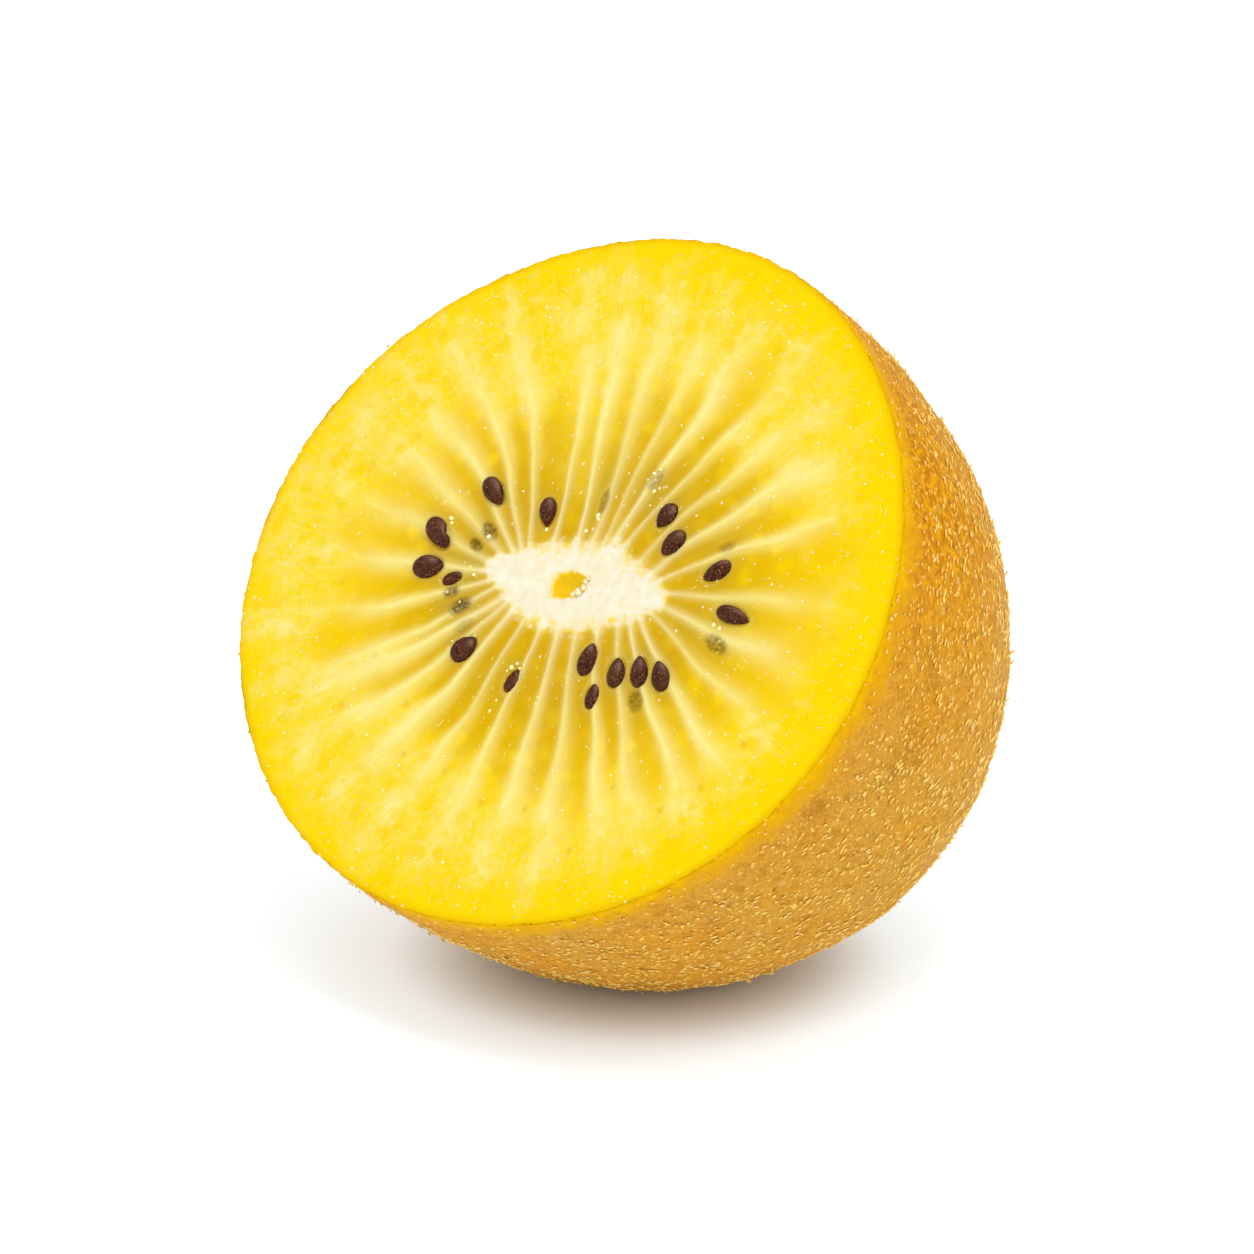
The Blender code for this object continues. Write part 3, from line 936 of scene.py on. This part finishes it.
def buildSkin():
    # A shell: from the far end up the inside to the cut, over the cut edge, and down the outside to the far end
    look = skinLook
    thick = fruitShape["skinThickness"]
    columns = look["columns"]
    angle = turns(columns)[None, :]
    downIn = np.linspace(1, 0, 13)[1:, None] ** 1.6
    inside = skinPoint(angle + 0 * downIn, np.maximum(downIn, 0.0015), thick)
    inside[-1, :, 2] = -look["insideDepth"]
    down = ((np.arange(look["rows"])[:, None] + 1) / (look["rows"] + 1.0)) ** 1.25
    outside = skinPoint(angle + 0 * down, down)
    bumps = skinBumps(outside) * fade(down, 0.0, 0.03) + rimWave(angle) * fade(down, 0.03, 0.0)
    outside = outside + unit(outside) * bumps[..., None]
    edge = skinPoint(angle, np.full((1, columns), 0.0006))
    edge[..., :2] *= 1 + (rimWave(angle) - 0.03)[..., None] / fruitShape["waistRadius"]
    edge[..., 2] = 0.02 * ripple(angle, (23, 37, 61, 97), 83) - look["edgeDepth"]
    grid = np.concatenate([inside, edge, outside])
    start = skinPoint(np.zeros(1), np.ones(1), thick)
    end = skinPoint(np.zeros(1), np.ones(1))
    mesh, points = closedMesh("skin", start, grid, end, turned=True)

    # millimetres down the outside from the cut; 0 on the inside and the edge
    step = np.linalg.norm(np.diff(outside, axis=0, prepend=edge), axis=-1)
    below = np.concatenate([np.zeros(1 + (len(inside) + 1) * columns), np.cumsum(step, 0).ravel(), [60.0]])
    addAttribute(mesh, "belowCut", below)

    # a ring round the stem button and slanting rubbed marks
    fromAxis = np.hypot(points[:, 0], points[:, 1])
    around = np.arctan2(points[:, 1], points[:, 0])
    scar = bell(fromAxis - 2.6, 1.5) * (points[:, 2] < -20)
    for towards, height, breadth in look["scars"]:
        offset = wrapped(around - towards) * fromAxis
        scar = np.maximum(scar, bell(np.hypot(offset, points[:, 2] - height + 0.5 * offset), breadth))
    addAttribute(mesh, "scar", scar)
    towards, breadth = look["sunnySide"]
    addAttribute(mesh, "sunny", bell(around - towards, breadth) * fade(below, 20, 5))
    return newPiece("skin", mesh, skinMaterial())


skin = buildSkin()
print("skin done:", len(skin.data.polygons), "faces")


# Stem scar

stemLook = {
    "radius": 2.8,
    "height": 0.62,
    "depth": 0.7,  # how deep the button's underside lies in the fruit
    "columns": 96,
    "rows": 34,
    "grains": {"patches": (0.9, 5.0, 0.65), "fibres": (0.25, 3.0, 0.5)},
}


def corkMaterial():
    # Dry corky scar where the stem broke off: rough, grey-brown, with paler fibres
    material, tree, _, _, grain = newMaterial("corkyStemScar", (), stemLook["grains"])
    base = layers(tree, "#4E3117", ("#9A6C38", [grain["patches"], 0.36, 0.64]),
                  ("#CDA468", [grain["fibres"], 0.58, 0.70, 0.0, 0.7]), steps="LINEAR")
    bumps = addNode(tree, "Bump", {"Strength": 0.8, "Distance": 0.00015, "Height": grain["fibres"]})
    setSurface(tree, {"Base Color": base, "Roughness": 0.85, "Specular IOR Level": 0.1, "Normal": bumps})
    return material


def buildStemButton():
    # A disc on the far end: height from a raised rim less a broken-out middle, with radial creases, rings going out
    # from the middle and closed underneath
    look = stemLook
    theta = turns(look["columns"])[None, :]
    share = (np.arange(look["rows"])[:, None] + 1) / look["rows"]
    outline = 1 + 0.06 * ripple(theta, (2, 3, 5), 141) + 0.02 * ripple(theta, (11, 17, 23), 143)
    radius = look["radius"] * outline * share
    x, y = radius * np.cos(theta), radius * np.sin(theta)
    height = look["height"] * (0.80 + 0.30 * bell(share - 0.72, 0.16) - 0.55 * bell(share, 0.34))
    height = height * fade(share, 1.0, 0.86) - 0.25 * fade(share, 0.9, 1.0)
    height = height + 0.06 * share * ripple(theta, (9, 14, 19, 27), 145)
    height = height + 0.05 * swell(np.stack([x, y], -1), 0.8, 147)
    end = -skinPoint(np.zeros(1), np.ones(1))[0, 2]
    underside = look["depth"] - end
    top = np.stack([x, y, -(end + height)], -1)
    under = np.stack([0.9 * x[-1:], 0.9 * y[-1:], underside + 0 * x[-1:]], -1)
    grid = np.concatenate([top, under])
    mesh, _ = closedMesh("stemButton", [[0, 0, grid[0, :, 2].mean()]], grid, [[0, 0, underside]])
    return newPiece("stemButton", mesh, corkMaterial())


stemButton = buildStemButton()
print("stem scar done:", len(stemButton.data.polygons), "faces")


# Hairs

hairLook = {
    "count": 12500,
    "length": (0.28, 0.58),
    "thickness": 0.150,
    "flatness": 0.40,
    "stand": (4.0, 4.0),  # degrees off the skin: mean and spread
    "raised": (0.09, 32.0),  # share of the hairs that stand up, and by how many degrees more
    "swing": 0.27,  # radians up or down from the way round the fruit
    "small": (0.40, 0.60),  # share of the hairs that are small, and their size
    "grains": {"tone": (1.2, 1.0, 0.5)},
}


def hairMaterial():
    # Kiwi skin hair: short, dry and fine, golden, a little see-through, so it glints pale against the skin
    material, tree, _, _, grain = newMaterial("goldenHair", (), hairLook["grains"])
    base = layers(tree, "#FCC44C", ("#FDD878", [grain["tone"], 0.35, 0.65]), steps="LINEAR")
    setSurface(tree, {"Base Color": base, "Roughness": 0.45, "IOR": 1.5, "Specular IOR Level": 0.10})
    return material


def buildHairs():
    # Flattened spikes of three sides in two stages, lying round the fruit; drawn about twice as thick as real
    # hairs, which would be too fine to show
    look = hairLook
    random = np.random.default_rng(91)
    count = look["count"]
    tries = count * 9
    # even over the area: picked by rejection on the ring's length times the step between rings
    down = random.uniform(0, 1, tries)
    ringPoints = skinPoint(np.zeros(400), np.linspace(0, 1, 400))
    weight = ringPoints[:-1, 0] * np.linalg.norm(np.diff(ringPoints, axis=0), axis=1)
    weight = weight / weight.max()
    angle = random.uniform(0, 2 * np.pi, tries)
    weight = weight[np.minimum((down * 399).astype(int), 398)]
    weight = weight * (0.4 + 0.6 * fade(down, 0.0, 0.08) - 0.45 * fade(down, 0.4, 0.7))
    root = skinPoint(angle, down)
    weight *= 0.85 + 0.15 * swell(root, 6.0, 93)  # thicker in patches, none on the stem scar
    keep = (random.uniform(0, 1, tries) < weight) & (np.hypot(root[:, 0], root[:, 1]) > stemLook["radius"] - 0.2)
    down, angle, root = down[keep][:count], angle[keep][:count], root[keep][:count]
    count = len(down)
    each = (count, 1)
    smallShare, smallSize = look["small"]
    small = np.where(random.uniform(0, 1, each) < smallShare, smallSize, 1.0)
    root = root + unit(root) * skinBumps(root)[:, None]

    # the skin's own directions at each root, and the way the hair lies, stands and curls
    little = 1e-3
    around = unit(skinPoint(angle + little, down) - skinPoint(angle, down))
    along = unit(skinPoint(angle, np.minimum(down + little, 1)) - skinPoint(angle, down - little * (down > 0.99)))
    out = np.cross(along, around)
    out *= np.sign((out * root).sum(-1, keepdims=True))
    swing = random.normal(0, look["swing"], each)
    lie = around * np.cos(swing) + along * np.sin(swing)
    stand = np.radians(random.normal(*look["stand"], each))
    raisedShare, raisedBy = look["raised"]
    stand += np.radians(raisedBy) * (random.uniform(0, 1, each) < raisedShare)
    # shorter beside the cut, longer round the stem scar and on the right
    longer = (1 - 0.5 * fade(down, 0.06, 0.0)) * (1 + 0.30 * bell(angle - 0.45, 0.7))
    longer *= 1 + 0.9 * fade(np.hypot(root[:, 0], root[:, 1]), 6.0, 3.0) * (down > 0.5)
    length = small * random.uniform(*look["length"], each) * longer[:, None]
    aim = lie * np.cos(stand) + out * np.sin(stand)
    curl = out * random.uniform(-0.15, 0.02, each) + np.cross(out, lie) * random.normal(0, 0.14, each)
    thick = look["thickness"] * small * random.uniform(0.7, 1.2, each)
    sideways = unit(np.cross(aim, out))
    upward = np.cross(sideways, aim)

    points = []
    foot = root + out * 0.3 * thick
    for share, width in ((0.0, 0.7), (0.62, 1.0)):
        middle = foot + aim * length * share + curl * length * share ** 2
        for corner in (90, 210, 330):
            spoke = sideways * math.cos(math.radians(corner))
            spoke = spoke + look["flatness"] * upward * math.sin(math.radians(corner))
            points.append(middle + spoke * thick * width)
    points.append(foot + aim * length + curl * length)
    points = np.stack(points, 1)  # hair, 7 points, 3
    base = 7 * np.arange(count)[:, None, None]
    quads = np.array([[0, 3, 4, 1], [1, 4, 5, 2], [2, 5, 3, 0]])[None] + base
    triangles = np.array([[3, 6, 4], [4, 6, 5], [5, 6, 3], [0, 1, 2]])[None] + base
    mesh = makeMesh("hairs", settled(points.reshape(-1, 3)), quads.reshape(-1, 4), triangles.reshape(-1, 3))
    return newPiece("hairs", mesh, hairMaterial())


hairs = buildHairs()
print("hairs done:", len(hairs.data.polygons), "faces")

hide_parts("kiwi_half")


# Room: a plain pale floor, soft light from above and the sides, and the camera

room = {
    "floorSize": 40.0,
    "floorGlow": 0.40,
    # metres round the fruit over which the floor's glow dims: a painted shade
    "paintedShadeReach": 0.006,
    "world": 0.88,
    "lights": (  # name, azimuth, elevation, distance, side, watts
        ("topSoftbox", 150.0, 78.0, 0.80, 1.2, 0.85),
        ("rightSoftbox", 75.0, 40.0, 0.9, 1.0, 1.28),
        ("leftSoftbox", -98.0, 24.0, 1.0, 0.9, 0.62),
        ("glintLight", 60.0, 62.0, 0.8, 0.14, 0.5),
    ),
    "lightsAim": 0.022,  # metres above the floor
    "azimuth": 39.7,
    "elevation": 20.0,
    "distance": 0.60,
    "lens": 250.0,
    # the camera stands this many metres aside of and above the line to the cut face's middle, and looks this many
    # degrees to the right of it and below it
    "standAside": 0.0209,
    "standAbove": 0.0054,
    "aimAside": 0.40,
    "aimBelow": 0.32,
}


def direction(azimuth, elevation):
    # towards the azimuth from the front, anticlockwise seen from above, and the elevation, in degrees
    azimuth, elevation = math.radians(azimuth), math.radians(elevation)
    level = math.cos(elevation)
    return Vector((math.sin(azimuth) * level, -math.cos(azimuth) * level, math.sin(elevation)))


def floorMaterial():
    # matt white acrylic light table, lit a little from beneath, which keeps shadows pale; near the fruit the glow is
    # faded by ambient occlusion, a painted contact shade
    material, tree, *_ = newMaterial("lightTable")
    clear = addNode(tree, "AmbientOcclusion", {"Distance": room["paintedShadeReach"]}, samples=8)
    # painted shade: the floor's glow dims where the fruit is close
    glowWithPaintedShade = agreed(tree, [(clear, "AO"), 0.10, 0.75, 0.0, room["floorGlow"]])
    setSurface(tree, {"Base Color": "#F0F8FA", "Roughness": 0.9, "Specular IOR Level": 0.0,
                      "Emission Color": "#CFE6FA", "Emission Strength": glowWithPaintedShade})
    return material


def buildRoom():
    # a square floor, an even white world, round lamps on a sphere round the fruit, and the camera
    half = 0.5 * room["floorSize"]
    corners = np.array([[-half, -half, 0], [half, -half, 0], [half, half, 0], [-half, half, 0]])
    floorMesh = makeMesh("floor", corners, np.array([[0, 1, 2, 3]]))
    floorMesh.materials.append(floorMaterial())
    newObject("floor", floorMesh)

    world = bpy.data.worlds.new("studio")
    world.use_nodes = True
    background = world.node_tree.nodes["Background"]
    background.inputs["Color"].default_value = (1, 1, 1, 1)
    background.inputs["Strength"].default_value = room["world"]
    bpy.context.scene.world = world

    middle = Vector((0, 0, room["lightsAim"]))
    for name, azimuth, elevation, distance, side, watts in room["lights"]:
        light = bpy.data.lights.new(name, "AREA")
        light.shape = "DISK"
        light.size = side
        light.energy = watts
        lamp = newObject(name, light)
        lamp.location = middle + distance * direction(azimuth, elevation)
        lamp.rotation_euler = (lamp.location - middle).to_track_quat("Z", "Y").to_euler()

    # the camera looks past the cut face's middle
    faceMiddle = Vector(settled(np.zeros((1, 3)))[0])
    back = direction(room["azimuth"], room["elevation"])
    right = Vector((0, 0, 1)).cross(back).normalized()
    up = back.cross(right)
    cameraData = bpy.data.cameras.new("camera")
    cameraData.lens = room["lens"]
    cameraData.sensor_width = 36.0
    cameraData.clip_start = 0.01
    camera = newObject("camera", cameraData)
    camera.location = faceMiddle + back * room["distance"] + right * room["standAside"] + up * room["standAbove"]
    aim = (camera.location - faceMiddle).normalized()
    aim = aim - right * math.tan(math.radians(room["aimAside"])) + up * math.tan(math.radians(room["aimBelow"]))
    camera.rotation_euler = aim.to_track_quat("Z", "Y").to_euler()
    bpy.context.scene.camera = camera
    bpy.context.scene.view_settings.view_transform = "Standard"


buildRoom()
print("room done")
